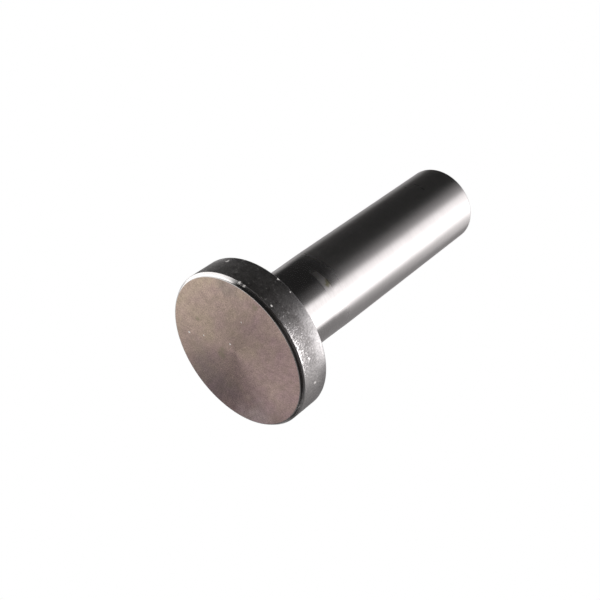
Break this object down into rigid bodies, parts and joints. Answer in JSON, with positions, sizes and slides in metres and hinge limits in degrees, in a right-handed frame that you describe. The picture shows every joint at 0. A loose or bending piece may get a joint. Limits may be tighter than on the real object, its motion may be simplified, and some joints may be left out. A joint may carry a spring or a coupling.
{
  "type": "mushroom tappet",
  "caption": "Flat-foot mushroom tappet for a pushrod engine: ground stem, bevelled cam face, relieved neck and a pushrod socket in the stem's end.",
  "frame": {"origin": "centre of the flat cam face, which is the face the tappet stands on", "axes": "+Z along the stem, from the cam face towards the pushrod socket; X and Y lie in the cam face, with no preferred direction"},
  "size_m": [0.0303, 0.0302, 0.0635],
  "materials": {
    "ground_steel": "hardened steel, ground on the cam face and stem, satin turned on the foot's rim"
  },
  "bodies": {
    "root": {"tappet": "ground_steel"}
  },
  "joints": []
}
